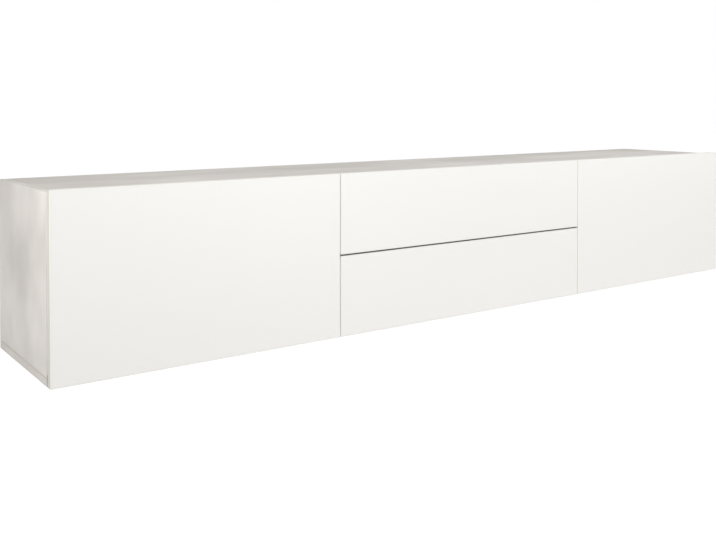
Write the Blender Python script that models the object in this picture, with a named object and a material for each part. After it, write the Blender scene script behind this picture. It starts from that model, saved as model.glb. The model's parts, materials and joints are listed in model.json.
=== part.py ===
"""Wall-hung media cabinet: two drop-down flaps with two drawers between them.

Metres, +X along the cabinet, -Y towards the room, +Z up. The origin is on the
back face of the wall rail, midway along it, so the wall is the plane Y = 0.
"""

import math

import bmesh
import bpy
from mathutils import Matrix, Vector

# Cabinet body
cabinet_width = 2.000
carcass_height = 0.350
carcass_depth = 0.320
board_thickness = 0.016
back_thickness = 0.008
back_recess = 0.020
cable_outlet_radius = 0.030
cable_outlet_above_floor = 0.090

# Fronts
front_thickness = 0.016
front_standoff = 0.004
front_rise = 0.0045
upright_seam = 0.0015
level_seam = 0.003
front_edge_radius = 0.002
drawer_front_width = 0.7555

# Fits: two pieces that touch keep seat_gap, a piece that turns or slides keeps running_gap
seat_gap = 0.0003
running_gap = 0.0003

# Wall rail and the hangers that hook over it
rail_steel = 0.002
rail_strip_height = 0.028
rail_shelf_depth = 0.010
rail_lip_height = 0.012
rail_end_clearance = 0.012
rail_screw_radius = 0.00325
rail_screw_count = 6
hanger_steel = 0.0025
hanger_length = 0.056
hanger_height = 0.057
hanger_arm_height = 0.017
hook_thickness = 0.003
hook_tongue = 0.0025
hook_play = 0.0015
hook_reach = 0.008
hook_headroom = 0.0027
notch_clearance = 0.0015

# Flap hinge, one long rolled hinge under each flap
hinge_sheet = 0.0007
hinge_end_inset = 0.010
hinge_leaf_height = 0.011
hinge_tooth_height = 0.0025
hinge_knuckles = 5
hinge_knuckle_gap = 0.0005
hinge_pin_clearance = 0.0002
hinge_curl_degrees = 270
flap_opening_degrees = 90

# Flap stay: a rod that is pinned to the flap and slides through a swivel guide
stay_radius_share = 0.51
stay_guide_degrees = 60
stay_pin_standoff = 0.014
stay_plate_thickness = 0.002
stay_plate_size = 0.030
stay_post_radius = 0.0025
stay_post_depth = 0.006
stay_rod_radius = 0.0022
stay_eye_radius = 0.0055
stay_eye_thickness = 0.005
stay_ear_thickness = 0.003
stay_bracket_height = 0.024
stay_bracket_foot = 0.008
stay_pin_radius = 0.0020
stay_collar_radius = 0.005
stay_collar_length = 0.006
guide_length = 0.014
guide_height = 0.012
guide_wall = 0.0015

# Drawer boxes and their telescopic runners
drawer_board = 0.012
drawer_bottom_thickness = 0.005
drawer_bottom_lift = 0.008
drawer_clearance = 0.006
drawer_tail = 0.020
drawer_rear_clearance = 0.010
runner_step = 0.050
runner_thickness = 0.0127
runner_height = 0.045
runner_steel = 0.0012
runner_setback = 0.003
runner_web_gap = 0.001
runner_flange_inset = 0.0015

# Push latches
latch_length = 0.050
latch_width = 0.014
latch_height = 0.012
latch_setback = 0.003
latch_bore_depth = 0.034
latch_shaft_radius = 0.0030
latch_head_radius = 0.0040
latch_head_length = 0.0035
latch_bore_clearance = 0.0004
latch_spring_room = 0.005

# Facets of round pieces, and how far a cutter reaches past what it cuts
round_sides = 16
small_round_sides = 12
overrun = 0.001

# Heights, from the rail's centre line
hook_top = rail_strip_height / 2 - rail_steel + rail_lip_height + seat_gap + hook_thickness
ceiling = hook_top + hook_headroom
carcass_top = ceiling + board_thickness
carcass_bottom = carcass_top - carcass_height
floor_top = carcass_bottom + board_thickness
front_top = carcass_top + front_rise
front_height = front_top - carcass_bottom

# Depths, from the wall
carcass_front = -carcass_depth
front_back = carcass_front - front_standoff
front_face = front_back - front_thickness
back_rear = -back_recess
back_front = back_rear - back_thickness
inner_depth = back_front - carcass_front

# Widths, from the middle
side_outer = cabinet_width / 2
side_inner = side_outer - board_thickness
seam_center = (drawer_front_width + upright_seam) / 2
divider_inner = seam_center - board_thickness / 2
divider_outer = seam_center + board_thickness / 2
flap_inner = seam_center + upright_seam / 2
flap_center = (flap_inner + side_outer) / 2
bay_center = (divider_outer + side_inner) / 2

# Hinge axis and the sizes of its rolled knuckles
knuckle_radius = front_standoff / 2 - seat_gap
knuckle_bore = knuckle_radius - hinge_sheet
hinge_pin_radius = knuckle_bore - hinge_pin_clearance
hinge_y = carcass_front - front_standoff / 2
hinge_z = carcass_bottom + knuckle_radius
hinge_length = side_outer - flap_inner - 2 * hinge_end_inset

# Stay: its flap pin and its guide are equally far from the hinge axis, so that the rod
# and the guide turn at exactly half of the flap's rate
stay_radius = stay_radius_share * inner_depth
stay_pin_y = front_back + stay_pin_standoff
stay_pin_degrees = math.degrees(math.acos((stay_pin_y - hinge_y) / stay_radius))
rod_bore_radius = stay_rod_radius + running_gap
guide_near = stay_plate_thickness + 2 * seat_gap
rod_offset = guide_near + stay_post_depth + guide_wall + rod_bore_radius
guide_far = rod_offset + rod_bore_radius + guide_wall
ear_near = rod_offset + stay_eye_thickness / 2 + running_gap
ear_far = ear_near + stay_ear_thickness

# Drawers
half_height = (ceiling - floor_top) / 2
drawer_box_height = half_height - latch_height - 2 * drawer_clearance
drawer_front_height = (front_height - level_seam) / 2
drawer_room = inner_depth - drawer_tail - drawer_rear_clearance
runner_length = runner_step * math.floor(drawer_room / runner_step)
drawer_box_length = runner_length + drawer_tail
drawer_box_outer = divider_inner - runner_thickness
drawer_box_inner = drawer_box_outer - drawer_board
drawer_box_rear = front_back + seat_gap + drawer_box_length
runner_front = carcass_front + runner_setback


def clear_scene():
    """Removes whatever the open file holds."""
    for thing in list(bpy.data.objects):
        bpy.data.objects.remove(thing, do_unlink=True)


def make_finish(name, color, roughness, metallic=0.0):
    """Makes a plain Principled material."""
    finish = bpy.data.materials.new(name)
    finish.use_nodes = True
    shader = finish.node_tree.nodes["Principled BSDF"]
    shader.inputs["Base Color"].default_value = (*color, 1.0)
    shader.inputs["Roughness"].default_value = roughness
    shader.inputs["Metallic"].default_value = metallic
    finish.diffuse_color = (*color, 1.0)
    return finish


def make_carrier(name, place):
    """Makes an empty on a joint's axis, which carries the pieces that move there."""
    carrier = bpy.data.objects.new(name, None)
    bpy.context.collection.objects.link(carrier)
    carrier.location = place
    return carrier


def add_piece(name, shape, finish, origin, carrier=None):
    """Turns a shape drawn in the cabinet's frame into an object with its own origin."""
    origin = Vector(origin)
    bmesh.ops.recalc_face_normals(shape, faces=shape.faces)
    bmesh.ops.translate(shape, verts=shape.verts, vec=-origin)
    mesh = bpy.data.meshes.new(name)
    shape.to_mesh(mesh)
    shape.free()
    mesh.materials.append(finish)
    piece = bpy.data.objects.new(name, mesh)
    bpy.context.collection.objects.link(piece)
    piece.location = origin
    if carrier:
        piece.parent = carrier
        piece.location = origin - carrier.location
    return piece


def block_shape(low, high):
    """A box between two corners, which may be given in either order."""
    low, high = Vector(low), Vector(high)
    size = [abs(far - near) for near, far in zip(low, high)]
    shape = bmesh.new()
    place = Matrix.Translation((low + high) / 2) @ Matrix.Diagonal((*size, 1))
    bmesh.ops.create_cube(shape, size=1, matrix=place)
    return shape


def add_board(name, low, high, finish, carrier=None):
    """Adds a box-shaped piece with its origin at its centre."""
    origin = (Vector(low) + Vector(high)) / 2
    return add_piece(name, block_shape(low, high), finish, origin, carrier)


def prism_shape(outline, start, end, along):
    """Extrudes an outline along X, when its points are (y, z), or along Y or Z."""
    spots = {"X": lambda u, v: (start, u, v), "Y": lambda u, v: (u, start, v), "Z": lambda u, v: (u, v, start)}
    travel = {"X": (end - start, 0, 0), "Y": (0, end - start, 0), "Z": (0, 0, end - start)}
    shape = bmesh.new()
    corners = [shape.verts.new(spots[along](u, v)) for u, v in outline]
    cap = shape.faces.new(corners)
    pushed = bmesh.ops.extrude_face_region(shape, geom=[cap], use_keep_orig=True)
    moved = [item for item in pushed["geom"] if isinstance(item, bmesh.types.BMVert)]
    bmesh.ops.translate(shape, verts=moved, vec=travel[along])
    return shape


def rod_shape(start, end, radius, sides, end_radius=None):
    """A round rod or cone between two points, shaded smooth round its sides."""
    start, end = Vector(start), Vector(end)
    run = end - start
    turn = run.to_track_quat("Z", "Y").to_matrix().to_4x4()
    place = Matrix.Translation((start + end) / 2) @ turn
    far_radius = radius if end_radius is None else end_radius
    shape = bmesh.new()
    bmesh.ops.create_cone(
        shape, segments=sides, radius1=radius, radius2=far_radius, depth=run.length, cap_ends=True, matrix=place
    )
    return shape


def turned_shape(start, direction, profile, sides):
    """Turns a profile of (distance, radius) points round a line through start."""
    turn = Vector(direction).to_track_quat("Z", "Y").to_matrix().to_4x4()
    shape = bmesh.new()
    ends = [(profile[0][0], 0), *profile, (profile[-1][0], 0)]
    spots = [shape.verts.new((radius, 0, distance)) for distance, radius in ends]
    edges = [shape.edges.new(pair) for pair in zip(spots, spots[1:])]
    bmesh.ops.spin(
        shape, geom=[*spots, *edges], cent=(0, 0, 0), axis=(0, 0, 1), angle=math.tau, steps=sides, use_merge=True
    )
    bmesh.ops.remove_doubles(shape, verts=shape.verts, dist=seat_gap / 100)
    bmesh.ops.transform(shape, matrix=Matrix.Translation(start) @ turn, verts=shape.verts)
    return shape


def smooth_sides(piece):
    """Shades a round piece smooth, except at its sharp edges."""
    piece.data.shade_smooth()
    piece.data.set_sharp_from_angle(angle=math.radians(40))


def combine(piece, tool_shape, operation):
    """Cuts a shape out of a piece, or fuses it on, with a live Boolean."""
    step = len(piece.modifiers) + 1
    tool = add_piece(f"{piece.name}_tool_{step}", tool_shape, piece.data.materials[0], (0, 0, 0))
    bpy.context.view_layer.update()
    tool.parent = piece
    tool.matrix_parent_inverse = piece.matrix_world.inverted()
    tool.hide_render = True
    tool.display_type = "WIRE"
    change = piece.modifiers.new(f"{operation.lower()} {step}", "BOOLEAN")
    change.operation = operation
    change.solver = "EXACT"
    change.object = tool


def round_edges(piece, radius):
    """Eases the edges of a lacquered board."""
    easing = piece.modifiers.new("eased edges", "BEVEL")
    easing.width = radius
    easing.segments = 2
    easing.limit_method = "ANGLE"


def build_carcass(lacquer):
    """Bottom under the sides, top between them, and two upright dividers."""
    upright_low = floor_top + seat_gap
    add_board(
        "bottom_panel", (-side_outer, carcass_front, carcass_bottom), (side_outer, 0, floor_top), lacquer
    )
    top_end = side_inner - seat_gap
    add_board("top_panel", (-top_end, carcass_front, ceiling), (top_end, 0, carcass_top), lacquer)
    for name, side in (("left", -1), ("right", 1)):
        add_board(
            f"{name}_side_panel",
            (side * side_inner, carcass_front, upright_low),
            (side * side_outer, 0, carcass_top),
            lacquer,
        )
        add_board(
            f"{name}_divider",
            (side * divider_inner, carcass_front, upright_low),
            (side * divider_outer, back_rear, ceiling - seat_gap),
            lacquer,
        )


def build_back(name, inner, outer, backing, notched):
    """A thin back with a round cable outlet, and notches that let the hangers through."""
    low_x, high_x = sorted((inner, outer))
    low = (low_x + seat_gap, back_front, floor_top + seat_gap)
    high = (high_x - seat_gap, back_rear, ceiling - seat_gap)
    back = add_board(name, low, high, backing)
    outlet = ((low_x + high_x) / 2, back_front - overrun, floor_top + cable_outlet_above_floor)
    outlet_end = (outlet[0], back_rear + overrun, outlet[2])
    combine(back, rod_shape(outlet, outlet_end, cable_outlet_radius, round_sides), "DIFFERENCE")
    if notched:
        notch_width = hanger_steel + seat_gap + notch_clearance
        notch_low = hook_top - hanger_arm_height - notch_clearance
        for edge, inward in ((low_x, 1), (high_x, -1)):
            start = (edge - inward * overrun, back_front - overrun, notch_low)
            end = (edge + inward * notch_width, back_rear + overrun, ceiling + overrun)
            combine(back, block_shape(start, end), "DIFFERENCE")


def build_rail(steel):
    """The wall rail: a flat strip, a shelf at its top edge and an upright lip."""
    half = rail_strip_height / 2
    shelf_low = half - rail_steel
    lip_top = shelf_low + rail_lip_height
    lip_back = -rail_shelf_depth + rail_steel
    outline = [
        (0, -half), (0, half), (lip_back, half), (lip_back, lip_top),
        (-rail_shelf_depth, lip_top), (-rail_shelf_depth, shelf_low), (-rail_steel, shelf_low), (-rail_steel, -half),
    ]
    reach = side_inner - rail_end_clearance
    rail = add_piece("wall_rail", prism_shape(outline, -reach, reach, "X"), steel, (0, 0, 0))
    spacing = 2 * reach / rail_screw_count
    for index in range(rail_screw_count):
        place = -reach + spacing * (index + 1 / 2)
        start = (place, -rail_steel - overrun, 0)
        combine(rail, rod_shape(start, (place, overrun, 0), rail_screw_radius, small_round_sides), "DIFFERENCE")


def build_hanger(name, panel_face, inward, steel):
    """A plate on an upright panel, whose arm goes through the back and hooks over the rail."""
    lip_back = -rail_shelf_depth + rail_steel
    lip_front = -rail_shelf_depth
    plate_rear = back_front - notch_clearance - running_gap
    plate_front = plate_rear - hanger_length
    arm_low = hook_top - hanger_arm_height
    hook_low = hook_top - hook_thickness
    arm_rear = lip_front - notch_clearance
    tongue_front = lip_back + hook_play
    outline = [
        (plate_front, hook_top - hanger_height), (plate_rear, hook_top - hanger_height), (plate_rear, arm_low),
        (arm_rear, arm_low), (arm_rear, hook_low), (tongue_front, hook_low), (tongue_front, hook_top - hook_reach),
        (tongue_front + hook_tongue, hook_top - hook_reach), (tongue_front + hook_tongue, hook_top),
        (plate_front, hook_top),
    ]
    near = panel_face + inward * seat_gap
    far = near + inward * hanger_steel
    add_piece(name, prism_shape(outline, near, far, "X"), steel, (near, plate_rear, hook_top))


def leaf_shape(center_x, knuckle_indexes, toward):
    """A hinge leaf: a strip with teeth, each tooth rolled round the pin."""
    start = center_x - hinge_length / 2
    pitch = hinge_length / hinge_knuckles
    strip_low = hinge_z + hinge_tooth_height
    outline = []
    for index in knuckle_indexes:
        low = start + pitch * index + hinge_knuckle_gap / 2
        high = start + pitch * (index + 1) - hinge_knuckle_gap / 2
        outline += [(low, strip_low), (low, hinge_z), (high, hinge_z), (high, strip_low)]
    strip_start, strip_end = start, start + hinge_length
    tooth_at_start = knuckle_indexes[0] == 0
    if tooth_at_start:
        strip_start, strip_end = outline[1][0], outline[-2][0]
        outline = outline[1:-1]
    else:
        outline = [(strip_start, strip_low), *outline, (strip_end, strip_low)]
    strip_top = strip_low + hinge_leaf_height
    outline += [(strip_end, strip_top), (strip_start, strip_top)]
    inner_face = hinge_y + toward * knuckle_bore
    outer_face = hinge_y + toward * knuckle_radius
    shape = prism_shape(outline, inner_face, outer_face, "Y")
    tips = [face for face in shape.faces if abs(face.calc_center_median().z - hinge_z) < seat_gap]
    for tip in tips:
        bmesh.ops.spin(
            shape,
            geom=[tip],
            cent=(center_x, hinge_y, hinge_z),
            axis=(-toward, 0, 0),
            angle=math.radians(hinge_curl_degrees),
            steps=9,
        )
    bmesh.ops.delete(shape, geom=tips, context="FACES_ONLY")
    return shape


def build_hinge(name, center_x, steel, carrier):
    """Fixed leaf on the bottom panel's edge, flap leaf on the flap, and the pin."""
    origin = (center_x, hinge_y, hinge_z)
    fixed = [index for index in range(hinge_knuckles) if index % 2 == 0]
    moving = [index for index in range(hinge_knuckles) if index % 2]
    add_piece(f"{name}_hinge_fixed_leaf", leaf_shape(center_x, fixed, 1), steel, origin)
    add_piece(f"{name}_hinge_flap_leaf", leaf_shape(center_x, moving, -1), steel, origin, carrier)
    reach = hinge_length / 2
    pin = rod_shape(
        (center_x - reach, hinge_y, hinge_z), (center_x + reach, hinge_y, hinge_z), hinge_pin_radius, small_round_sides
    )
    smooth_sides(add_piece(f"{name}_hinge_pin", pin, steel, origin))


def on_stay_circle(x, degrees):
    """A point as far from the hinge axis as the stay's pin, at an angle up from the rear."""
    angle = math.radians(degrees)
    return Vector((x, hinge_y + stay_radius * math.cos(angle), hinge_z + stay_radius * math.sin(angle)))


def build_stay(name, side, steel, nylon, flap_carrier):
    """Bracket and rod on the flap, swivel guide and its bracket on the side panel."""

    def across(offset):
        return side * (side_inner - offset)

    pin = on_stay_circle(across(rod_offset), stay_pin_degrees)
    pivot = on_stay_circle(across(rod_offset), stay_guide_degrees)
    run = (pivot - pin).normalized()
    build_stay_rod(name, across, pin, run, steel)
    build_stay_guide(name, across, pivot, run, nylon)
    build_stay_side_bracket(name, across, pivot, steel)
    build_stay_flap_bracket(name, across, pin, steel, flap_carrier)


def build_stay_rod(name, across, pin, run, steel):
    """Eye on the flap's pin, shaft through the guide, and a collar that stops the flap."""
    open_degrees = stay_pin_degrees + flap_opening_degrees - stay_guide_degrees
    open_chord = 2 * stay_radius * math.sin(math.radians(open_degrees / 2))
    collar_start = open_chord + guide_length / 2 + running_gap
    rod_end = collar_start + stay_collar_length
    shaft_start = stay_pin_radius + 2 * running_gap
    profile = [
        (shaft_start, stay_rod_radius), (collar_start, stay_rod_radius),
        (collar_start, stay_collar_radius), (rod_end, stay_collar_radius),
    ]
    rod = add_piece(f"{name}_stay_rod", turned_shape(pin, run, profile, small_round_sides), steel, pin)
    near = Vector((across(rod_offset - stay_eye_thickness / 2), pin.y, pin.z))
    far = Vector((across(rod_offset + stay_eye_thickness / 2), pin.y, pin.z))
    combine(rod, rod_shape(near, far, stay_eye_radius, round_sides), "UNION")
    past = (far - near).normalized() * overrun
    combine(rod, rod_shape(near - past, far + past, stay_pin_radius + running_gap, round_sides), "DIFFERENCE")
    smooth_sides(rod)


def build_stay_guide(name, across, pivot, run, nylon):
    """A block that turns on its post, with the rod's bore through it."""
    near, far = across(guide_near), across(guide_far)
    shape = block_shape((near, -guide_length / 2, -guide_height / 2), (far, guide_length / 2, guide_height / 2))
    slope = math.atan2(run.z, run.y)
    turn = Matrix.Translation((0, pivot.y, pivot.z)) @ Matrix.Rotation(slope, 4, "X")
    bmesh.ops.transform(shape, matrix=turn, verts=shape.verts)
    guide = add_piece(f"{name}_stay_guide", shape, nylon, (near, pivot.y, pivot.z))
    reach = run * (guide_length / 2 + overrun)
    combine(guide, rod_shape(pivot - reach, pivot + reach, rod_bore_radius, round_sides), "DIFFERENCE")
    mouth = (across(guide_near - overrun), pivot.y, pivot.z)
    bottom = (across(guide_near + stay_post_depth), pivot.y, pivot.z)
    combine(guide, rod_shape(mouth, bottom, stay_post_radius + running_gap, round_sides), "DIFFERENCE")


def build_stay_side_bracket(name, across, pivot, steel):
    """A plate on the side panel with the post that the guide turns on."""
    half = stay_plate_size / 2
    plate_face = seat_gap + stay_plate_thickness
    low = (across(seat_gap), pivot.y - half, pivot.z - half)
    high = (across(plate_face), pivot.y + half, pivot.z + half)
    bracket = add_board(f"{name}_stay_side_bracket", low, high, steel)
    root = (across(seat_gap + stay_plate_thickness / 2), pivot.y, pivot.z)
    tip = (across(guide_near + stay_post_depth - running_gap), pivot.y, pivot.z)
    combine(bracket, rod_shape(root, tip, stay_post_radius, small_round_sides), "UNION")


def build_stay_flap_bracket(name, across, pin, steel, carrier):
    """A foot on the flap's inner face, an ear that stands off it, and the ear's pin."""
    foot_low = front_back + seat_gap
    foot_high = foot_low + stay_ear_thickness
    ear_high = pin.y + stay_eye_radius
    foot_near, ear_start, ear_end = across(rod_offset - stay_bracket_foot), across(ear_near), across(ear_far)
    outline = [
        (foot_near, foot_low), (ear_end, foot_low), (ear_end, ear_high),
        (ear_start, ear_high), (ear_start, foot_high), (foot_near, foot_high),
    ]
    half = stay_bracket_height / 2
    shape = prism_shape(outline, pin.z - half, pin.z + half, "Z")
    bracket = add_piece(f"{name}_stay_flap_bracket", shape, steel, (ear_end, foot_low, pin.z), carrier)
    root = (across(ear_near + stay_ear_thickness / 2), pin.y, pin.z)
    tip = (across(rod_offset - stay_eye_thickness / 2 - running_gap), pin.y, pin.z)
    combine(bracket, rod_shape(root, tip, stay_pin_radius, small_round_sides), "UNION")


def build_latch(name, center_x, base_z, up, plastic):
    """A push latch on the floor (up = 1) or under the top (up = -1), and its sprung pin."""
    body_front = carcass_front + latch_setback
    near = base_z + up * seat_gap
    low = (center_x - latch_width / 2, body_front, near)
    high = (center_x + latch_width / 2, body_front + latch_length, near + up * latch_height)
    body = add_board(f"{name}_latch_body", low, high, plastic)
    axis_z = near + up * latch_height / 2
    mouth = (center_x, body_front - overrun, axis_z)
    bore_end = (center_x, body_front + latch_bore_depth, axis_z)
    bore_radius = latch_shaft_radius + latch_bore_clearance
    combine(body, rod_shape(mouth, bore_end, bore_radius, round_sides), "DIFFERENCE")
    tip = Vector((center_x, front_back + seat_gap, axis_z))
    shaft_end = body_front + latch_bore_depth - latch_spring_room - tip.y
    profile = [
        (0, latch_shaft_radius), (latch_head_radius - latch_shaft_radius, latch_head_radius),
        (latch_head_length, latch_head_radius), (latch_head_length, latch_shaft_radius), (shaft_end, latch_shaft_radius),
    ]
    pin = add_piece(f"{name}_latch_pin", turned_shape(tip, (0, 1, 0), profile, small_round_sides), plastic, tip)
    smooth_sides(pin)


def build_flap(name, side, lacquer, steel, nylon, plastic):
    """A front board that drops down, with its hinge, its stay and its push latch."""
    center_x = side * flap_center
    carrier = make_carrier(f"{name}_flap_axis", (center_x, hinge_y, hinge_z))
    low = (side * flap_inner, front_face, carcass_bottom)
    flap = add_board(f"{name}_flap", low, (side * side_outer, front_back, front_top), lacquer, carrier)
    round_edges(flap, front_edge_radius)
    build_hinge(name, center_x, steel, carrier)
    build_stay(name, side, steel, nylon, carrier)
    build_latch(name, side * bay_center, ceiling, -1, plastic)


def channel_outline(web_face, flange_end, half, middle_z):
    """Section of a runner member: a web with a flange at its top and bottom."""
    step = runner_steel if flange_end > web_face else -runner_steel
    inner = half - runner_steel
    return [
        (web_face, middle_z - half), (flange_end, middle_z - half), (flange_end, middle_z - inner),
        (web_face + step, middle_z - inner), (web_face + step, middle_z + inner), (flange_end, middle_z + inner),
        (flange_end, middle_z + half), (web_face, middle_z + half),
    ]


def build_runner(name, side, middle_z, steel, drawer_carrier):
    """Three nested channels: on the divider, between the two, and on the drawer."""
    nesting = runner_steel + 2 * running_gap
    cabinet_half = runner_height / 2
    middle_half = cabinet_half - nesting
    drawer_half = middle_half - nesting
    middle_web = seat_gap + runner_steel + runner_web_gap
    drawer_web = runner_thickness - seat_gap
    flange_end = drawer_web - runner_steel - runner_web_gap
    members = (
        ("cabinet_member", seat_gap, flange_end, cabinet_half, None),
        ("middle_member", middle_web, flange_end, middle_half, None),
        ("drawer_member", drawer_web, middle_web + runner_steel + runner_flange_inset, drawer_half, drawer_carrier),
    )
    for member, web_offset, flange_offset, half, carrier in members:
        web_face = side * (divider_inner - web_offset)
        flange_face = side * (divider_inner - flange_offset)
        outline = channel_outline(web_face, flange_face, half, middle_z)
        shape = prism_shape(outline, runner_front, runner_front + runner_length, "Y")
        add_piece(f"{name}_{member}", shape, steel, (web_face, runner_front, middle_z), carrier)


def build_drawer(name, front_low, box_low, latch_base, latch_up, lacquer, board, steel, plastic):
    """A front board on a box of sides, back and bottom, with two runners and a push latch."""
    middle_z = box_low + drawer_box_height / 2
    carrier = make_carrier(f"{name}_drawer_axis", (0, front_face, middle_z))
    half_width = drawer_front_width / 2
    front = add_board(
        f"{name}_drawer_front",
        (-half_width, front_face, front_low),
        (half_width, front_back, front_low + drawer_front_height),
        lacquer,
        carrier,
    )
    round_edges(front, front_edge_radius)
    box_front = front_back + seat_gap
    box_top = box_low + drawer_box_height
    for label, side in (("left", -1), ("right", 1)):
        add_board(
            f"{name}_drawer_{label}_side",
            (side * drawer_box_inner, box_front, box_low),
            (side * drawer_box_outer, drawer_box_rear, box_top),
            board,
            carrier,
        )
        build_runner(f"{name}_{label}_runner", side, middle_z, steel, carrier)
    between = drawer_box_inner - seat_gap
    back_face = drawer_box_rear - drawer_board
    add_board(f"{name}_drawer_back", (-between, back_face, box_low), (between, drawer_box_rear, box_top), board, carrier)
    bottom_low = box_low + drawer_bottom_lift
    add_board(
        f"{name}_drawer_bottom",
        (-between, box_front, bottom_low),
        (between, back_face - seat_gap, bottom_low + drawer_bottom_thickness),
        board,
        carrier,
    )
    build_latch(f"{name}_drawer", 0, latch_base, latch_up, plastic)


def build_cabinet():
    """Builds every piece of the cabinet in its closed position."""
    clear_scene()
    front_lacquer = make_finish("front lacquer", (0.86, 0.84, 0.81), 0.22)
    carcass_lacquer = make_finish("carcass lacquer", (0.82, 0.79, 0.76), 0.40)
    drawer_board_finish = make_finish("drawer board", (0.78, 0.76, 0.73), 0.50)
    steel = make_finish("zinc plated steel", (0.62, 0.62, 0.60), 0.35, 1.0)
    nylon = make_finish("grey nylon", (0.35, 0.35, 0.35), 0.55)
    plastic = make_finish("latch plastic", (0.70, 0.70, 0.69), 0.45)

    build_carcass(carcass_lacquer)
    build_back("left_back_panel", -divider_outer, -side_inner, carcass_lacquer, True)
    build_back("center_back_panel", -divider_inner, divider_inner, carcass_lacquer, False)
    build_back("right_back_panel", divider_outer, side_inner, carcass_lacquer, True)
    build_rail(steel)
    for name, side in (("left", -1), ("right", 1)):
        build_hanger(f"{name}_outer_hanger", side * side_inner, -side, steel)
        build_hanger(f"{name}_inner_hanger", side * divider_outer, side, steel)
        build_flap(name, side, front_lacquer, steel, nylon, plastic)

    middle = (floor_top + ceiling) / 2
    lower_box = floor_top + latch_height + drawer_clearance
    upper_box = middle + drawer_clearance
    upper_front = front_top - drawer_front_height
    finishes = (front_lacquer, drawer_board_finish, steel, plastic)
    build_drawer("upper", upper_front, upper_box, ceiling, -1, *finishes)
    build_drawer("lower", carcass_bottom, lower_box, floor_top, 1, *finishes)


build_cabinet()
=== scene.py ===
"""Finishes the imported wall-hung media cabinet and sets it in a pale studio.

Metres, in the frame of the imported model: +X along the cabinet, -Y towards the room,
+Z up. Every piece takes its place from the box of the node that it stands for.
"""

import json
import math

import bmesh
import bpy
from mathutils import Matrix, Vector


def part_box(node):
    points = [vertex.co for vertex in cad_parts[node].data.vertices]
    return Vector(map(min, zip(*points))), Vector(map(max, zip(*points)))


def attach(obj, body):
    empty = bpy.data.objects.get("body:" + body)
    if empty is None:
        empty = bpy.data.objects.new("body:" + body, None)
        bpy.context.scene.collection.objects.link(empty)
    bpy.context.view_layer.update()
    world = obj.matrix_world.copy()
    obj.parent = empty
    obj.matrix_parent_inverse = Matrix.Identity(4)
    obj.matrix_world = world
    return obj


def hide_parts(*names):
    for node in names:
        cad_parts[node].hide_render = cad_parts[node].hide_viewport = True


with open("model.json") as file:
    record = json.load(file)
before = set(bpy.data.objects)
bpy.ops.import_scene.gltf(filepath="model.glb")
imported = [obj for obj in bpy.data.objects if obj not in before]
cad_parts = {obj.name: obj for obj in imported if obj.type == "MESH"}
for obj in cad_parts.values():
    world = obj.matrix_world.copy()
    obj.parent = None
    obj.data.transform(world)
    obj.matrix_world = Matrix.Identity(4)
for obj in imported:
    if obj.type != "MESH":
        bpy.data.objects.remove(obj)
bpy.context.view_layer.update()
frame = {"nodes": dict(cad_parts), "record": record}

body_of_node = {
    node: body for body, nodes in frame["record"]["behaviour"]["bodies"].items() for node in nodes
}

# Photograph, in pixels, and the lens and place fitted to its edge lines
photo_width, photo_height = 716, 540
focal_px = 913.54
axis_px = 113.55
sensor_width = 36.0
camera_turn_degrees = -35.365
camera_tilt_degrees = -0.90
camera_from_corner = Vector((-0.4867, -1.6264, 0.1605))

# Board edges
edging_thickness = 0.0020
edging_radius = 0.0014
edging_segments = 5
face_edge_radius = 0.0001
carcass_edge_radius = 0.0008
# Width of the painted shade lines at the bottom joint and the bottom edge
joint_shade_width = 0.0026
lining_depth = 0.0010
drawer_edge_radius = 0.0010
edge_segments = 3
band_thickness = 0.0010
band_edge_radius = 0.00025

# Shelf pin holes in the bays' upright panels
pin_hole_radius = 0.0025
pin_hole_depth = 0.010
pin_hole_pitch = 0.032
pin_hole_rows = 5
pin_hole_from_edge = 0.037

# Screw heads, as (radius, height), and caps and pads
pan_head = (0.0036, 0.0016)
small_pan_head = (0.0030, 0.0012)
flat_head = (0.0026, 0.0005)
cap_radius = 0.0060
cap_height = 0.0010
pad_radius = 0.0040
pad_height = 0.0014
pad_from_edge = 0.0080

# Sheet steel fittings
hinge_sheet = 0.0007
hinge_screw_count = 10
hinge_screw_drop = 0.0055
runner_steel = 0.0012
runner_bend = 0.0004
runner_hole_radius = 0.0022
runner_hole_places = (0.037, 0.069, 0.101, 0.133, 0.165, 0.197, 0.229)
runner_screw_places = (0.037, 0.133, 0.229)
stay_plate_screw = 0.0105
stay_foot_screw = 0.0080
stay_sheet = 0.0020
stay_foot_sheet = 0.0030
stay_foot_inset = 0.0050
cap_from_front = 0.0300

# Cable grommets and dust strips
grommet_bore = 0.0285
grommet_sleeve = 0.0293
grommet_flange = 0.0345
grommet_lip = 0.0014
grommet_ease = 0.0005
lip_inset = 0.0006
lip_thickness = 0.0025
lip_clearance = 0.0003
lip_above_hinge = 0.0060
contact_gap = 0.00005
smooth_sides = 48
weld_distance = 0.000001
sharp_degrees = 35

# Screw and pin places, as shares of the piece that carries them
hanger_screw_depths = (0.14, 0.50)
hanger_screw_height = 0.30
paired_screw_shares = (0.25, 0.75)
latch_tip = 0.0012
latch_collar = 0.0035
latch_shaft_share = 0.75

# Studio
ambient_strength = 0.508
floor_height = -0.95
floor_reach = 30.0
floor_glow = 0.895


# Materials

def start_finish(name, roughness, metallic=0.0):
    """A Principled material with its node tree and shader."""
    finish = bpy.data.materials.new(name)
    finish.use_nodes = True
    tree = finish.node_tree
    shader = tree.nodes["Principled BSDF"]
    shader.inputs["Roughness"].default_value = roughness
    shader.inputs["Metallic"].default_value = metallic
    return finish, tree, shader


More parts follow.
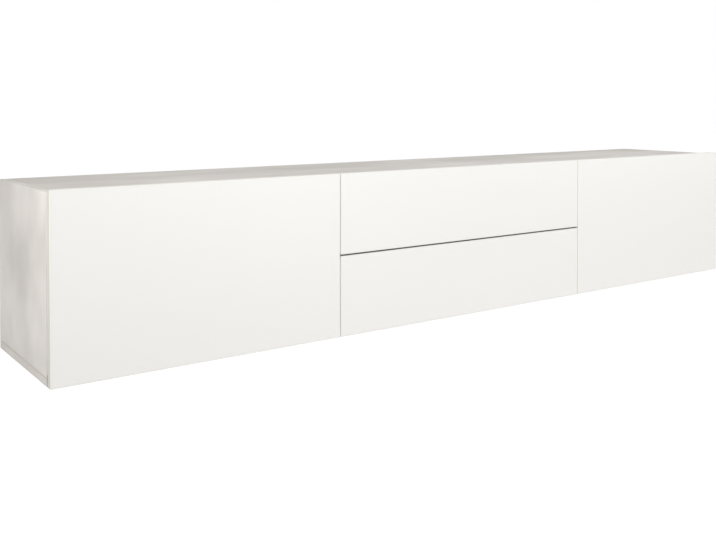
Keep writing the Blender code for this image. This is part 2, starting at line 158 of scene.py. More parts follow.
def add_noise(tree, scale, stretch=(1, 1, 1), detail=3.0, roughness=0.5, start=(0, 0, 0)):
    """Noise on object coordinates; a stretch below one draws it out along that axis."""
    place = tree.nodes.new("ShaderNodeTexCoord")
    mapping = tree.nodes.new("ShaderNodeMapping")
    mapping.inputs["Location"].default_value = start
    mapping.inputs["Scale"].default_value = stretch
    noise = tree.nodes.new("ShaderNodeTexNoise")
    noise.inputs["Scale"].default_value = scale
    noise.inputs["Detail"].default_value = detail
    noise.inputs["Roughness"].default_value = roughness
    tree.links.new(place.outputs["Object"], mapping.inputs["Vector"])
    tree.links.new(mapping.outputs["Vector"], noise.inputs["Vector"])
    return noise.outputs["Fac"]


def spread(tree, factor, low, high, out_low, out_high):
    """Maps a factor from one range to another."""
    ramp = tree.nodes.new("ShaderNodeMapRange")
    limits = {"From Min": low, "From Max": high, "To Min": out_low, "To Max": out_high}
    for socket, value in limits.items():
        ramp.inputs[socket].default_value = value
    tree.links.new(factor, ramp.inputs["Value"])
    return ramp.outputs["Result"]


def blend_colors(tree, factor, first, second):
    """Mixes two colours, or a colour and a socket, by a factor."""
    mix = tree.nodes.new("ShaderNodeMix")
    mix.data_type = "RGBA"
    tree.links.new(factor, mix.inputs["Factor"])
    for socket, value in ((mix.inputs[6], first), (mix.inputs[7], second)):
        if isinstance(value, bpy.types.NodeSocket):
            tree.links.new(value, socket)
        else:
            socket.default_value = (*value, 1.0)
    return mix.outputs[2]


def add_relief(tree, shader, height, strength, distance):
    """Raises the surface a little by a height."""
    bump = tree.nodes.new("ShaderNodeBump")
    bump.inputs["Strength"].default_value = strength
    bump.inputs["Distance"].default_value = distance
    tree.links.new(height, bump.inputs["Height"])
    tree.links.new(bump.outputs["Normal"], shader.inputs["Normal"])


def srgb(red, green, blue):
    """A display colour of 0 to 255 as the linear colour that a shader takes."""
    shares = (red / 255, green / 255, blue / 255)
    return tuple(s / 12.92 if s <= 0.04045 else ((s + 0.055) / 1.055) ** 2.4 for s in shares)


def make_front_lacquer():
    """Sprayed warm white lacquer: even, softly glossy, with a faint orange peel."""
    finish, tree, shader = start_finish("front_lacquer", 0.30)
    cloud = add_noise(tree, 2.2, detail=2.0)
    color = blend_colors(tree, cloud, srgb(240, 239, 235), srgb(241, 240, 236))
    tree.links.new(color, shader.inputs["Base Color"])
    gloss = spread(tree, add_noise(tree, 3.0), 0.0, 1.0, 0.28, 0.34)
    tree.links.new(gloss, shader.inputs["Roughness"])
    shader.inputs["Specular IOR Level"].default_value = 0.35
    add_relief(tree, shader, add_noise(tree, 700.0, detail=1.0), 0.03, 0.0002)
    return finish


def read_axis(tree, axis):
    """The object coordinate along one axis."""
    place = tree.nodes.new("ShaderNodeTexCoord")
    parts = tree.nodes.new("ShaderNodeSeparateXYZ")
    tree.links.new(place.outputs["Object"], parts.inputs["Vector"])
    return parts.outputs[axis]


def distance_from(tree, axis, middle):
    """How far the surface lies from a middle value along one axis, either way."""
    offset = tree.nodes.new("ShaderNodeMath")
    offset.operation = "SUBTRACT"
    offset.inputs[1].default_value = middle
    tree.links.new(read_axis(tree, axis), offset.inputs[0])
    away = tree.nodes.new("ShaderNodeMath")
    away.operation = "ABSOLUTE"
    tree.links.new(offset.outputs[0], away.inputs[0])
    return away.outputs[0]


def shade_levels(tree, color, heights, half_width, dark):
    """Paints shade along level lines: darkens a colour where a joint or an edge lies in shade."""
    for height in heights:
        share = spread(tree, distance_from(tree, "Z", height), half_width / 3, half_width, 1.0, 0.0)
        color = blend_colors(tree, share, color, dark)
    return color


def find_lining(tree):
    """One on the faces that line the bays, and zero on the cabinet's outer faces."""
    floor_top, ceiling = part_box("bottom_panel")[1].z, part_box("top_panel")[0].z
    across = distance_from(tree, "X", 0.0)
    up = distance_from(tree, "Z", (floor_top + ceiling) / 2)
    both = tree.nodes.new("ShaderNodeMath")
    both.operation = "MULTIPLY"
    reaches = (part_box("right_side_panel")[0].x, (ceiling - floor_top) / 2)
    for socket, away, reach in zip(both.inputs, (across, up), reaches):
        share = spread(tree, away, reach + lining_depth, reach + 2 * lining_depth, 1.0, 0.0)
        tree.links.new(share, socket)
    return both.outputs[0]


def make_carcass_lacquer(name, along, draw, start, specular, shades):
    """Satin warm white boards, softly clouded along one axis, with painted shade at the bottom joint
    and edge and a plain white lining.
    """
    finish, tree, shader = start_finish(name, 0.55)
    drawn_out = [draw if axis == along else 1.0 for axis in "XYZ"]
    cloud = spread(tree, add_noise(tree, 6.0, drawn_out, 2.0, start=start), 0.32, 0.68, 0.0, 1.0)
    streaked = [0.12 if axis == along else 1.0 for axis in "XYZ"]
    streak = spread(tree, add_noise(tree, 30.0, streaked, 2.0), 0.30, 0.70, 0.0, 1.0)
    dark, light, lightest = (srgb(*shade) for shade in shades)
    clouded = blend_colors(tree, cloud, dark, blend_colors(tree, streak, light, lightest))
    # Painted shade: darker lines where the uprights meet the bottom panel and along the bottom edge.
    bottom_low, bottom_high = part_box("bottom_panel")
    painted_shade_heights = (bottom_low.z, bottom_high.z)
    outside = shade_levels(tree, clouded, painted_shade_heights, joint_shade_width, srgb(221, 215, 208))
    color = blend_colors(tree, find_lining(tree), outside, srgb(236, 234, 231))
    tree.links.new(color, shader.inputs["Base Color"])
    tree.links.new(spread(tree, streak, 0.0, 1.0, 0.50, 0.62), shader.inputs["Roughness"])
    shader.inputs["Specular IOR Level"].default_value = specular
    add_relief(tree, shader, add_noise(tree, 420.0, drawn_out, 2.0), 0.08, 0.0002)
    return finish


def make_board_white(name, color_low, color_high, roughness):
    """Melamine faced board: matte white with a fine pebbled grain."""
    finish, tree, shader = start_finish(name, roughness)
    cloud = spread(tree, add_noise(tree, 6.0), 0.35, 0.65, 0.0, 1.0)
    tree.links.new(blend_colors(tree, cloud, color_low, color_high), shader.inputs["Base Color"])
    shader.inputs["Specular IOR Level"].default_value = 0.35
    add_relief(tree, shader, add_noise(tree, 1400.0, detail=2.0), 0.12, 0.0001)
    return finish


def make_front_edging(name, axis, middle, plain, shaded, shade, nose):
    """Rounded edging: a near-white wall as painted light for the narrow seams, painted shade on the
    walls that lie at one distance, and its nose.
    """
    # The near-white wall colour is painted light: it lightens the walls inside the narrow upright
    # seams.
    finish = make_board_white(name, srgb(246, 245, 242), srgb(249, 248, 245), 0.42)
    tree = finish.node_tree
    shader = tree.nodes["Principled BSDF"]
    painted_wall_color = shader.inputs["Base Color"].links[0].from_socket
    # Painted shade: full at the shaded distance, fading out towards the plain one.
    share = spread(tree, distance_from(tree, axis, middle), plain, shaded, 0.0, 1.0)
    painted_wall_color = blend_colors(tree, share, painted_wall_color, shade)
    nose_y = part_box("left_flap")[0].y
    nose_start, nose_end = nose_y + edging_radius * 0.5, nose_y + edging_radius * 1.5
    front = spread(tree, read_axis(tree, "Y"), nose_start, nose_end, 1.0, 0.0)
    tree.links.new(blend_colors(tree, front, painted_wall_color, nose), shader.inputs["Base Color"])
    return finish


def make_flap_edging():
    """Cream edging, with painted shade on the walls at the cabinet's two ends."""
    end_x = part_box("right_flap")[1].x
    return make_front_edging(
        "flap_edging", "X", 0.0, end_x - 2 * edging_thickness, end_x - edging_thickness,
        # srgb(220, 216, 208) is painted shade on the end walls; srgb(245, 242, 234) is the nose.
        srgb(220, 216, 208), srgb(245, 242, 234),
    )


def make_drawer_edging():
    """Pale edging, with painted shade on the two walls that face the gap between the drawers."""
    gap_low, gap_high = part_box("lower_drawer_front")[1].z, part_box("upper_drawer_front")[0].z
    reach = (gap_high - gap_low) / 2 + edging_thickness
    return make_front_edging(
        "drawer_edging", "Z", (gap_low + gap_high) / 2, reach + edging_thickness, reach,
        # srgb(206, 206, 206) is painted shade on the gap walls; srgb(242, 240, 234) is the nose.
        srgb(206, 206, 206), srgb(242, 240, 234),
    )


def make_zinc(name, along):
    """Bright zinc plating over drawn steel, with fine lines along the piece."""
    finish, tree, shader = start_finish(name, 0.32, 1.0)
    stretch = [0.04 if axis == along else 1.0 for axis in "XYZ"]
    line = add_noise(tree, 900.0, stretch, 3.0)
    bloom = add_noise(tree, 25.0, detail=2.0)
    color = blend_colors(tree, bloom, srgb(200, 202, 204), srgb(210, 211, 212))
    tree.links.new(color, shader.inputs["Base Color"])
    tree.links.new(spread(tree, line, 0.3, 0.7, 0.26, 0.42), shader.inputs["Roughness"])
    add_relief(tree, shader, line, 0.10, 0.0001)
    return finish


def make_plastic(name, low, high, roughness):
    """Moulded plastic with a fine spark-eroded texture."""
    finish, tree, shader = start_finish(name, roughness)
    cloud = spread(tree, add_noise(tree, 90.0), 0.35, 0.65, 0.0, 1.0)
    tree.links.new(blend_colors(tree, cloud, low, high), shader.inputs["Base Color"])
    add_relief(tree, shader, add_noise(tree, 3000.0, detail=2.0), 0.15, 0.00005)
    return finish


front_lacquer = make_front_lacquer()
upright_lacquer = make_carcass_lacquer(
    "carcass_lacquer_upright", "Z", 0.9, (2.0, 0.1, 4.3), 0.20,
    ((218, 213, 207), (244, 239, 233), (249, 244, 238)),
)
level_lacquer = make_carcass_lacquer(
    "carcass_lacquer_level", "X", 0.5, (2.4, 3.9, 6.3), 0.08,
    ((224, 218, 211), (237, 232, 226), (249, 244, 238)),
)
flap_edging = make_flap_edging()
drawer_edging = make_drawer_edging()
edge_band = make_board_white("edge_band", srgb(234, 231, 226), srgb(238, 235, 230), 0.42)
back_board = make_board_white("back_board", srgb(234, 232, 228), srgb(238, 236, 232), 0.5)
drawer_melamine = make_board_white("drawer_melamine", srgb(230, 228, 224), srgb(235, 233, 229), 0.5)
zinc_x = make_zinc("zinc_plate_x", "X")
zinc_y = make_zinc("zinc_plate_y", "Y")
screw_steel = make_zinc("screw_steel", "Z")
grey_nylon = make_plastic("grey_nylon", srgb(92, 93, 95), srgb(104, 105, 107), 0.5)
latch_plastic = make_plastic("latch_plastic", srgb(206, 206, 204), srgb(216, 216, 214), 0.42)
grommet_plastic = make_plastic("grommet_plastic", srgb(196, 195, 192), srgb(206, 205, 202), 0.45)
lip_vinyl = make_plastic("lip_vinyl", srgb(241, 237, 229), srgb(246, 242, 234), 0.6)
bumper_rubber = make_plastic("bumper_rubber", srgb(60, 60, 61), srgb(70, 70, 71), 0.75)
pad_silicone = make_plastic("pad_silicone", srgb(214, 214, 210), srgb(222, 222, 218), 0.25)
cap_plastic = make_plastic("cap_plastic", srgb(228, 226, 222), srgb(234, 232, 228), 0.45)


# Shapes

def ease_edges(shape, edges, radius, segments):
    """Rounds edges off."""
    bmesh.ops.bevel(
        shape, geom=edges, offset=radius, segments=segments,
        profile=0.5, affect="EDGES", material=-1,
    )


def add_block(shape, low, high, radius=0.0, segments=edge_segments):
    """Adds a box with eased edges to a bmesh; the corners may come in either order."""
    low, high = Vector(low), Vector(high)
    size = [abs(far - near) for near, far in zip(low, high)]
    place = Matrix.Translation((low + high) / 2) @ Matrix.Diagonal((*size, 1))
    made = bmesh.ops.create_cube(shape, size=1, matrix=place)
    if radius:
        edges = list({edge for vert in made["verts"] for edge in vert.link_edges})
        ease_edges(shape, edges, radius, segments)


def turn_section(turned, section, sides):
    """Turns a drawn section a full turn about Z and welds it shut."""
    bmesh.ops.spin(
        turned, geom=section, cent=(0, 0, 0), axis=(0, 0, 1),
        angle=math.tau, steps=sides, use_merge=True,
    )
    bmesh.ops.remove_doubles(turned, verts=turned.verts, dist=weld_distance)


def add_turned(shape, start, direction, profile, sides=smooth_sides):
    """Adds a closed round shape: a profile of (distance, radius) turned about a line."""
    turned = bmesh.new()
    ends = [(profile[0][0], 0), *profile, (profile[-1][0], 0)]
    spots = [turned.verts.new((radius, 0, distance)) for distance, radius in ends]
    edges = [turned.edges.new(pair) for pair in zip(spots, spots[1:])]
    turn_section(turned, [*spots, *edges], sides)
    place_shape(shape, turned, start, direction)


def add_ring(shape, start, direction, profile, sides=smooth_sides):
    """Adds a closed ring: a closed section of (distance, radius) turned about a line."""
    turned = bmesh.new()
    spots = [turned.verts.new((radius, 0, distance)) for distance, radius in profile]
    edges = [turned.edges.new((spots[index - 1], spots[index])) for index in range(len(spots))]
    turn_section(turned, [*spots, *edges], sides)
    place_shape(shape, turned, start, direction)


def place_shape(shape, made, start, direction):
    """Turns a made shape's Z to a direction, moves it to its start and joins it on."""
    turn = Vector(direction).to_track_quat("Z", "Y").to_matrix().to_4x4()
    bmesh.ops.transform(made, matrix=Matrix.Translation(start) @ turn, verts=made.verts)
    join_shape(shape, made)


def join_shape(shape, made):
    """Joins a made shape onto another, with its faces outwards."""
    bmesh.ops.recalc_face_normals(made, faces=made.faces)
    mesh = bpy.data.meshes.new("joined")
    made.to_mesh(mesh)
    made.free()
    shape.from_mesh(mesh)
    bpy.data.meshes.remove(mesh)


def add_outline(shape, outline, start, end, along, radius=0.0):
    """Adds an extruded outline: (y, z) along X, (x, z) along Y or (x, y) along Z."""
    spots = {
        "X": lambda u, v: (start, u, v),
        "Y": lambda u, v: (u, start, v),
        "Z": lambda u, v: (u, v, start),
    }
    travel = {"X": (end - start, 0, 0), "Y": (0, end - start, 0), "Z": (0, 0, end - start)}
    made = bmesh.new()
    cap = made.faces.new([made.verts.new(spots[along](u, v)) for u, v in outline])
    pushed = bmesh.ops.extrude_face_region(made, geom=[cap], use_keep_orig=True)
    moved = [item for item in pushed["geom"] if isinstance(item, bmesh.types.BMVert)]
    bmesh.ops.translate(made, verts=moved, vec=travel[along])
    if radius:
        ease_edges(made, made.edges[:], radius, 2)
    join_shape(shape, made)


def make_mesh_object(name, shape, finish):
    """Turns a bmesh into an object at the origin with one material."""
    bmesh.ops.recalc_face_normals(shape, faces=shape.faces)
    mesh = bpy.data.meshes.new(name)
    shape.to_mesh(mesh)
    shape.free()
    mesh.materials.append(finish)
    piece = bpy.data.objects.new(name, mesh)
    bpy.context.collection.objects.link(piece)
    return piece


def settle(piece, body, nodes=(), smooth=False):
    """Gives a finished piece its body, hides the nodes that it stands for, and may shade it smooth."""
    if smooth:
        piece.data.shade_smooth()
        piece.data.set_sharp_from_angle(angle=math.radians(sharp_degrees))
    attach(piece, body)
    if nodes:
        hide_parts(*nodes)
    return piece


def carve(piece, cutter_shape):
    """Cuts a shape out of a piece and keeps the result as its mesh."""
    cutter = make_mesh_object(f"{piece.name}_cutter", cutter_shape, piece.data.materials[0])
    cut = piece.modifiers.new("cut", "BOOLEAN")
    cut.operation = "DIFFERENCE"
    cut.solver = "EXACT"
    cut.object = cutter
    seen = piece.evaluated_get(bpy.context.evaluated_depsgraph_get())
    carved = bpy.data.meshes.new_from_object(seen)
    piece.modifiers.remove(cut)
    old = piece.data
    piece.data = carved
    bpy.data.meshes.remove(old)
    bpy.data.objects.remove(cutter, do_unlink=True)


def keep_node(node, finish):
    """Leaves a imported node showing, with a procedural finish."""
    slots = frame["nodes"][node].data.materials
    slots.clear()
    slots.append(finish)


# Boards

def build_board(node, finish, radius):
    """A board with eased edges in the place of a packed one."""
    low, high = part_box(node)
    shape = bmesh.new()
    add_block(shape, low, high, radius)
    board = make_mesh_object(f"{node}_board", shape, finish)
    return settle(board, body_of_node[node], [node])


def build_banded_board(node, finish, cutter_shape=None):
    """A carcass board whose front edge carries a glued edge band."""
    low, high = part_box(node)
    core = bmesh.new()
    add_block(core, (low.x, low.y + band_thickness + contact_gap, low.z), high, carcass_edge_radius)
    board = make_mesh_object(f"{node}_board", core, finish)
    if cutter_shape:
        carve(board, cutter_shape)
    settle(board, body_of_node[node], [node])
    band = bmesh.new()
    add_block(band, low, (high.x, low.y + band_thickness, high.z), band_edge_radius, 2)
    settle(make_mesh_object(f"{node}_edge_band", band, edge_band), body_of_node[node])


def shelf_pin_cutter(face_x, into, bay_low, bay_high, depth_low, depth_high):
    """Two upright rows of shelf pin holes, drilled into one face of an upright panel."""
    shape = bmesh.new()
    middle = (bay_low + bay_high) / 2
    start_x = face_x - into * pin_hole_radius
    profile = [(0, pin_hole_radius), (pin_hole_radius + pin_hole_depth, pin_hole_radius)]
    for place_y in (depth_low + pin_hole_from_edge, depth_high - pin_hole_from_edge):
        for row in range(pin_hole_rows):
            place_z = middle + (row - (pin_hole_rows - 1) / 2) * pin_hole_pitch
            add_turned(shape, (start_x, place_y, place_z), (into, 0, 0), profile, 16)
    return shape


def build_carcass():
    """Bottom, top, sides and dividers with their edge bands and shelf pin holes."""
    for node in ("bottom_panel", "top_panel"):
        build_banded_board(node, level_lacquer)
    floor_top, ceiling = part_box("bottom_panel")[1].z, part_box("top_panel")[0].z
    front_y, back_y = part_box("top_panel")[0].y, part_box("center_back_panel")[0].y
    for name, side in (("left", -1), ("right", 1)):
        for node in (f"{name}_side_panel", f"{name}_divider"):
            low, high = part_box(node)
            into = side if "side" in node else -side
            face_x = low.x if into > 0 else high.x
            holes = shelf_pin_cutter(face_x, into, floor_top, ceiling, front_y, back_y)
            build_banded_board(node, upright_lacquer, holes)


def build_dust_lips():
    """Soft strips on the side panels that close the gap behind the flaps."""
    flap_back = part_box("left_flap")[1].y
    for name, side in (("left", -1), ("right", 1)):
        low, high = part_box(f"{name}_side_panel")
        outer = low.x if side < 0 else high.x
        shape = bmesh.new()
        near = (outer - side * lip_inset, flap_back + lip_clearance, low.z + lip_above_hinge)
        far = (outer - side * (lip_inset + lip_thickness), low.y - contact_gap, high.z)
        add_block(shape, near, far, lip_thickness / 4, 2)
        lip = make_mesh_object(f"{name}_dust_lip", shape, lip_vinyl)
        settle(lip, "cabinet", smooth=True)


def build_backs():
    """Thin backs; each cable outlet gets a two-sided plastic grommet."""
    for node in ("left_back_panel", "center_back_panel", "right_back_panel"):
        keep_node(node, back_board)
        low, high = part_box(node)
        opening = next(
            item for item in frame["record"]["physics"]["openings"]
            if item["name"] == node.replace("back_panel", "cable_outlet")
        )
        corner_low, corner_high = (Vector(corner) for corner in opening["box_m"])
        center = (corner_low + corner_high) / 2
        front = low.y - grommet_lip
        depth = high.y - low.y + 2 * grommet_lip
        face, rim = grommet_lip - contact_gap, grommet_flange - grommet_ease
        mouth, far_face, far_ease = grommet_bore + grommet_ease, depth - face, depth - grommet_ease
        section = [
            (0, mouth), (0, rim), (grommet_ease, grommet_flange), (face, grommet_flange),
            (face, grommet_sleeve), (far_face, grommet_sleeve), (far_face, grommet_flange),
            (far_ease, grommet_flange), (depth, rim), (depth, mouth),
            (far_ease, grommet_bore), (grommet_ease, grommet_bore),
        ]
        shape = bmesh.new()
        add_ring(shape, (center.x, front, center.z), (0, 1, 0), section)
        grommet = make_mesh_object(node.replace("back_panel", "cable_grommet"), shape, grommet_plastic)
        settle(grommet, "cabinet", smooth=True)


def build_fronts():
    """The four lacquered fronts: a face that is edged all round with a rounded cream band."""
    for node in ("left_flap", "right_flap", "upper_drawer_front", "lower_drawer_front"):
        low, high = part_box(node)
        inset = Vector((edging_thickness, 0, edging_thickness))
        skin = Vector((contact_gap, 0, contact_gap))
        face = bmesh.new()
        add_block(face, low + inset + skin, high - inset - skin, face_edge_radius, 2)
        body = body_of_node[node]
        settle(make_mesh_object(f"{node}_face", face, front_lacquer), body, [node])
        rim = bmesh.new()
        add_block(rim, low, high, edging_radius, edging_segments)
        finish = flap_edging if "flap" in node else drawer_edging
        edging = make_mesh_object(f"{node}_edging", rim, finish)
        opening = bmesh.new()
        past = Vector((0, edging_thickness, 0))
        add_block(opening, low + inset - past, high - inset + past)
        carve(edging, opening)
        settle(edging, body, smooth=True)


# Fittings

def add_screw(shape, place, outward, head):
    """A round head with a sunk drive, on a surface that faces outward."""
    radius, height = head
    rim = height / 3
    profile = [
        (0, radius), (rim, radius), (2 * rim, radius * 0.86), (height, radius * 0.62),
        (height, radius * 0.5), (height - rim, radius * 0.25),
    ]
    lift = Vector(outward) * contact_gap
    add_turned(shape, Vector(place) + lift, outward, profile, 24)


def build_screws(name, places, outward, body, head=pan_head):
    """One piece that holds a row of like screws."""
    shape = bmesh.new()
    for place in places:
        add_screw(shape, place, outward, head)
    settle(make_mesh_object(name, shape, screw_steel), body, smooth=True)


def build_discs(name, places, outward, body, finish, radius, height):
    """One piece that holds a row of thin round caps or pads with an eased rim."""
    shape = bmesh.new()
    ease = height / 3
    profile = [(0, radius), (height - ease, radius), (height, radius - ease)]
    for place in places:
        add_turned(shape, Vector(place) + Vector(outward) * contact_gap, outward, profile, 32)
    settle(make_mesh_object(name, shape, finish), body, smooth=True)


def build_hinges():
    """Rolled leaves, round pins, and the screws that hold the leaves."""
    for name in ("left", "right"):
        pin_node = f"{name}_hinge_pin"
        low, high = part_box(pin_node)
        radius = (high.z - low.z) / 2
        center = (low + high) / 2
        ease = radius / 3
        length = high.x - low.x
        worn = radius - ease
        profile = [(0, worn), (ease, radius), (length - ease, radius), (length, worn)]
        shape = bmesh.new()
        add_turned(shape, (low.x, center.y, center.z), (1, 0, 0), profile, 24)
        rod = make_mesh_object(f"{pin_node}_rod", shape, zinc_x)
        settle(rod, "cabinet", [pin_node], True)
        for leaf, outward in (("fixed", -1), ("flap", 1)):
            node = f"{name}_hinge_{leaf}_leaf"
            keep_node(node, zinc_x)
            low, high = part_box(node)
            face_y = high.y - hinge_sheet if outward < 0 else low.y + hinge_sheet
            pitch = (high.x - low.x) / hinge_screw_count
            row_z = high.z - hinge_screw_drop
            places = [
                (low.x + pitch * (index + 1 / 2), face_y, row_z) for index in range(hinge_screw_count)
            ]
            build_screws(f"{node}_screws", places, (0, outward, 0), body_of_node[node], flat_head)


def build_rail_and_hangers():
    """The wall rail and hanger plates, with the screws that fix the plates."""
    keep_node("wall_rail", zinc_x)
    for name in ("left_outer", "left_inner", "right_inner", "right_outer"):
        node = f"{name}_hanger"
        keep_node(node, zinc_y)
        low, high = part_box(node)
        outer = "outer" in name
        left = "left" in name
        inward = 1 if left == outer else -1
        face_x = high.x if inward > 0 else low.x
        screw_z = low.z + hanger_screw_height * (high.z - low.z)
        places = [
            (face_x, low.y + share * (high.y - low.y), screw_z) for share in hanger_screw_depths
        ]
        build_screws(f"{node}_screws", places, (inward, 0, 0), "cabinet")


def build_latches():
    """Push latch bodies with their two screws, and round pins with a rubber tip."""
    for name in ("left", "right", "upper_drawer", "lower_drawer"):
        case = f"{name}_latch_body"
        keep_node(case, latch_plastic)
        case_low, case_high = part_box(case)
        outward = 1 if name == "lower_drawer" else -1
        face_z = case_high.z if outward > 0 else case_low.z
        middle_x = (case_low.x + case_high.x) / 2
        case_length = case_high.y - case_low.y
        places = [
            (middle_x, case_low.y + share * case_length, face_z) for share in paired_screw_shares
        ]
        build_screws(f"{case}_screws", places, (0, 0, outward), "cabinet", small_pan_head)
        node = f"{name}_latch_pin"
        low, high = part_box(node)
        center = (low + high) / 2
        head = (high.z - low.z) / 2
        shaft = head * latch_shaft_share
        length = high.y - low.y
        body = body_of_node[node]
        rubber = bmesh.new()
        profile = [(0, head * 0.72), (latch_tip / 3, head * 0.9), (latch_tip, head)]
        add_turned(rubber, (center.x, low.y, center.z), (0, 1, 0), profile)
        bumper = make_mesh_object(f"{node}_bumper", rubber, bumper_rubber)
        settle(bumper, body, smooth=True)
        stem = bmesh.new()
        profile = [
            (latch_tip + contact_gap, head), (latch_collar, head), (latch_collar, shaft),
            (length - shaft / 3, shaft), (length, shaft * 2 / 3),
        ]
        add_turned(stem, (center.x, low.y, center.z), (0, 1, 0), profile)
        pin = make_mesh_object(f"{node}_stem", stem, latch_plastic)
        settle(pin, body, [node], True)


def build_stays():
    """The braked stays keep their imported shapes, in zinc and nylon, and get their screws."""
    for name, side in (("left", -1), ("right", 1)):
        for part in ("stay_rod", "stay_side_bracket", "stay_flap_bracket"):
            keep_node(f"{name}_{part}", zinc_y)
        keep_node(f"{name}_stay_guide", grey_nylon)
        low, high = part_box(f"{name}_stay_side_bracket")
        middle = (low + high) / 2
        face_x = low.x + stay_sheet if side < 0 else high.x - stay_sheet
        places = [
            (face_x, middle.y + across * stay_plate_screw, middle.z + up * stay_plate_screw)
            for across in (-1, 1) for up in (-1, 1)
        ]
        build_screws(f"{name}_stay_plate_screws", places, (-side, 0, 0), "cabinet", flat_head)
        foot = f"{name}_stay_flap_bracket"
        low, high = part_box(foot)
        middle_z = (low.z + high.z) / 2
        foot_x = low.x + stay_foot_inset if side < 0 else high.x - stay_foot_inset
        places = [
            (foot_x, low.y + stay_foot_sheet, middle_z + up * stay_foot_screw) for up in (-1, 1)
        ]
        build_screws(f"{name}_stay_foot_screws", places, (0, 1, 0), body_of_node[foot], flat_head)


def build_drawers():
    """Drawer boxes with eased edges and capped fixings, and telescopic runners."""
    for name in ("upper", "lower"):
        for part in ("left_side", "right_side", "back", "bottom"):
            node = f"{name}_drawer_{part}"
            build_board(node, drawer_melamine, drawer_edge_radius)
        floor_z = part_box(f"{name}_drawer_bottom")[1].z
        for side, inward in (("left", 1), ("right", -1)):
            board = f"{name}_drawer_{side}_side"
            low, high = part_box(board)
            face_x = high.x if inward > 0 else low.x
            places = [
                (face_x, low.y + cap_from_front, floor_z + share * (high.z - floor_z))
                for share in paired_screw_shares
            ]
            build_discs(
                f"{board}_caps", places, (inward, 0, 0), body_of_node[board],
                cap_plastic, cap_radius, cap_height,
            )
            for member in ("cabinet", "middle", "drawer"):
                build_runner_member(f"{name}_{side}_runner_{member}_member", inward, member)


def build_runner_member(node, inward, member):
    """A bent channel with a row of holes in its web, and the screws that hold it."""
    low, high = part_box(node)
    web_low = (inward > 0) != (member == "drawer")
    web_x, flange_x = (low.x, high.x) if web_low else (high.x, low.x)
    step = runner_steel if web_low else -runner_steel
    floor_z, roof_z = low.z + runner_steel, high.z - runner_steel
    outline = [
        (web_x, low.z), (flange_x, low.z), (flange_x, floor_z), (web_x + step, floor_z),
        (web_x + step, roof_z), (flange_x, roof_z), (flange_x, high.z), (web_x, high.z),
    ]
    shape = bmesh.new()
    add_outline(shape, outline, low.y, high.y, "Y", runner_bend)
    channel = make_mesh_object(f"{node}_channel", shape, zinc_y)
    middle_z = (low.z + high.z) / 2
    holes = bmesh.new()
    profile = [(0, runner_hole_radius), (3 * runner_steel, runner_hole_radius)]
    for place in runner_hole_places:
        start = (web_x - step, low.y + place, middle_z)
        add_turned(holes, start, (math.copysign(1, step), 0, 0), profile, 16)
    carve(channel, holes)
    body = body_of_node[node]
    settle(channel, body, [node])
    if member != "middle":
        places = [(web_x + step, low.y + place, middle_z) for place in runner_screw_places]
        head = flat_head if member == "cabinet" else pan_head
        build_screws(f"{node}_screws", places, (math.copysign(1, step), 0, 0), body, head)


def build_pads():
    """Clear pads that soften each front's close, on the upper corners of its inner face."""
    for node in ("left_flap", "right_flap", "upper_drawer_front", "lower_drawer_front"):
        low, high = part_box(node)
        pad_z = min(high.z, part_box("top_panel")[1].z) - pad_from_edge
        places = [(x, high.y, pad_z) for x in (low.x + pad_from_edge, high.x - pad_from_edge)]
        build_discs(
            f"{node}_pads", places, (0, 1, 0), body_of_node[node], pad_silicone, pad_radius, pad_height
        )


build_carcass()
build_dust_lips()
build_backs()
build_fronts()
build_hinges()
build_rail_and_hangers()
build_latches()
build_stays()
build_drawers()
build_pads()


# Studio

def show_white(tree, lit, white):
    """Shows one shader to the camera and in gloss, and another to everything else."""
    path = tree.nodes.new("ShaderNodeLightPath")
    seen = path.outputs["Is Camera Ray"]
    for ray in ("Is Glossy Ray", "Is Transmission Ray"):
        larger = tree.nodes.new("ShaderNodeMath")
        larger.operation = "MAXIMUM"
        tree.links.new(seen, larger.inputs[0])
        tree.links.new(path.outputs[ray], larger.inputs[1])
        seen = larger.outputs[0]
    mix = tree.nodes.new("ShaderNodeMixShader")
    tree.links.new(seen, mix.inputs["Fac"])
    tree.links.new(lit, mix.inputs[1])
    tree.links.new(white, mix.inputs[2])
    return mix.outputs[0]


def build_world(ambient):
    """Soft grey light on the object, and a white background behind it."""
    world = bpy.data.worlds.new("studio")
    world.use_nodes = True
    bpy.context.scene.world = world
    tree = world.node_tree
    fill = tree.nodes["Background"]
    fill.inputs["Color"].default_value = (1.0, 1.0, 1.0, 1.0)
    fill.inputs["Strength"].default_value = ambient
    white = tree.nodes.new("ShaderNodeBackground")
    white.inputs["Color"].default_value = (1.0, 1.0, 1.0, 1.0)
    white.inputs["Strength"].default_value = 1.0
    shown = show_white(tree, fill.outputs[0], white.outputs[0])
    tree.links.new(shown, tree.nodes["World Output"].inputs["Surface"])


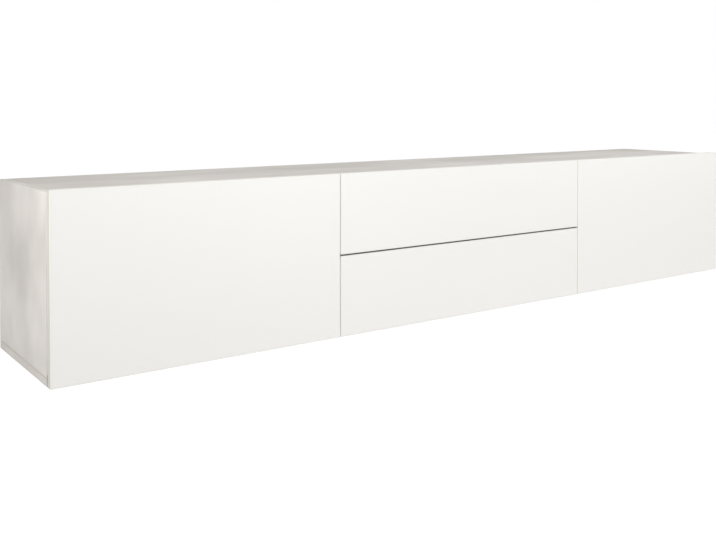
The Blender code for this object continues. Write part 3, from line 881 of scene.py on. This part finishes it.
def build_floor(height, reach):
    """A pale floor that keeps the cabinet's soft shadow."""
    shape = bmesh.new()
    bmesh.ops.create_grid(shape, x_segments=1, y_segments=1, size=reach)
    bmesh.ops.translate(shape, verts=shape.verts, vec=(0, 0, height))
    finish, tree, shader = start_finish("studio_floor", 0.9)
    shader.inputs["Base Color"].default_value = (0.80, 0.80, 0.80, 1.0)
    shader.inputs["Specular IOR Level"].default_value = 0.0
    glow = tree.nodes.new("ShaderNodeEmission")
    glow.inputs["Strength"].default_value = floor_glow
    lit = tree.nodes.new("ShaderNodeBsdfDiffuse")
    lit.inputs["Color"].default_value = (0.24, 0.24, 0.24, 1.0)
    both = tree.nodes.new("ShaderNodeAddShader")
    tree.links.new(glow.outputs[0], both.inputs[0])
    tree.links.new(lit.outputs[0], both.inputs[1])
    shown = show_white(tree, shader.outputs[0], both.outputs[0])
    tree.links.new(shown, tree.nodes["Material Output"].inputs["Surface"])
    make_mesh_object("studio_floor", shape, finish)


def add_softbox(name, place, target, size, power):
    """A white, soft, oblong light that faces a point."""
    lamp = bpy.data.lights.new(name, "AREA")
    lamp.shape = "RECTANGLE"
    lamp.size, lamp.size_y = size
    lamp.energy = power
    box = bpy.data.objects.new(name, lamp)
    bpy.context.collection.objects.link(box)
    box.location = place
    box.visible_camera = False
    box.rotation_euler = (Vector(target) - Vector(place)).to_track_quat("-Z", "Y").to_euler()


def build_camera():
    """The photograph's nearly level camera, whose frame is shifted down onto the cabinet."""
    view = bpy.data.cameras.new("photo_camera")
    view.sensor_width = sensor_width
    view.lens = focal_px / photo_width * sensor_width
    view.shift_y = -(photo_height / 2 - axis_px) / photo_width
    camera = bpy.data.objects.new("photo_camera", view)
    bpy.context.collection.objects.link(camera)
    low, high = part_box("left_flap")
    camera.location = Vector((low.x, low.y, high.z)) + camera_from_corner
    tilt, turn = math.radians(90 + camera_tilt_degrees), math.radians(camera_turn_degrees)
    camera.rotation_euler = (tilt, 0, turn)
    bpy.context.scene.camera = camera


build_camera()
build_world(ambient_strength)
build_floor(floor_height, floor_reach)
add_softbox("front_key", (0.2, -3.4, -0.1), (0.1, 0, -0.15), (3.6, 1.6), 46.0)
add_softbox("over_strip", (0.30, -0.56, 0.42), (0.30, -0.25, 0.0), (2.7, 0.15), 1.90)
add_softbox("left_fill", (-1.45, -0.37, 0.13), (-1.0, -0.40, 0.08), (0.06, 0.6), 1.34)
add_softbox("right_fill", (2.4, -0.10, -0.15), (1.0, -0.15, -0.15), (0.4, 0.3), 6)
add_softbox("rear_fill", (0, 2.2, -0.18), (0, 0, -0.15), (1.6, 0.3), 12)

scene = bpy.context.scene
scene.view_settings.view_transform = "Standard"
